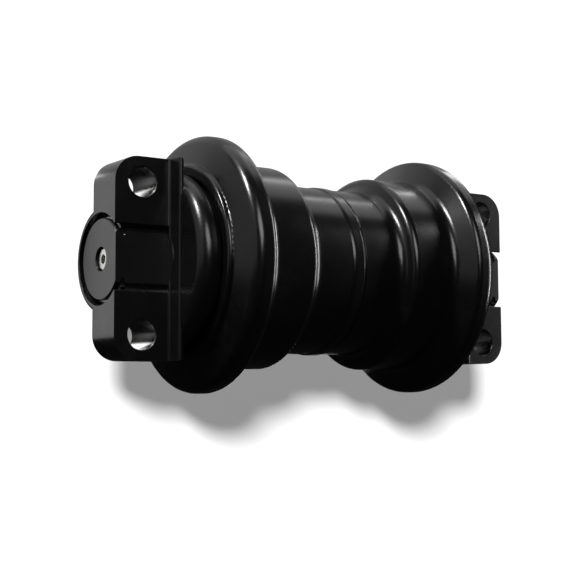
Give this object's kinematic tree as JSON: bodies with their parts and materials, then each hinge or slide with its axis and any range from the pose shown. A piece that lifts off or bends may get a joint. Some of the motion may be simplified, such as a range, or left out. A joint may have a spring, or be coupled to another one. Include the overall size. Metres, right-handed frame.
{
  "type": "track roller",
  "caption": "Flanged bottom track roller: a lubricated shell turning on a fixed shaft between bolt-on end collars.",
  "frame": {"origin": "on the spin axis at mid-length", "axes": "+Y along the spin axis away from the oil plug, +Z out of the mounting faces, +X across a pair of bolts"},
  "size_m": [0.292, 0.556, 0.292],
  "materials": {
    "shell_paint": "satin black paint over forged steel",
    "collar_paint": "satin black paint over cast steel",
    "shaft_steel": "satin black paint on the ends, ground steel inside",
    "wire_paint": "gloss black spring wire",
    "zinc_plug": "bright zinc plate",
    "copper_washer": "soft copper",
    "bronze_bush": "turned bronze",
    "seal_iron": "lapped hard iron",
    "seal_rubber": "matt nitrile rubber"
  },
  "bodies": {
    "fixed_axle": {"axle_shaft": "shaft_steel", "oil_plug": "zinc_plug", "plug_washer": "copper_washer", "collar_left": "collar_paint", "collar_right": "collar_paint", "seal_ring_fixed_left": "seal_iron", "seal_ring_fixed_right": "seal_iron", "toric_ring_fixed_left": "seal_rubber", "toric_ring_fixed_right": "seal_rubber", "retaining_ring_left": "wire_paint", "retaining_ring_right": "wire_paint", "shaft_o_ring_left": "seal_rubber", "shaft_o_ring_right": "seal_rubber"},
    "roller_shell": {"shell_half_left": "shell_paint", "shell_half_right": "shell_paint", "centre_weld": "shell_paint", "bushing_left": "bronze_bush", "bushing_right": "bronze_bush", "seal_ring_rotating_left": "seal_iron", "seal_ring_rotating_right": "seal_iron", "toric_ring_rotating_left": "seal_rubber", "toric_ring_rotating_right": "seal_rubber"}
  },
  "joints": [
    {"name": "roller_spin", "type": "hinge", "parent": "fixed_axle", "child": "roller_shell", "pos_m": [0, 0, 0], "axis": [0, 1, 0], "continuous": true}
  ]
}
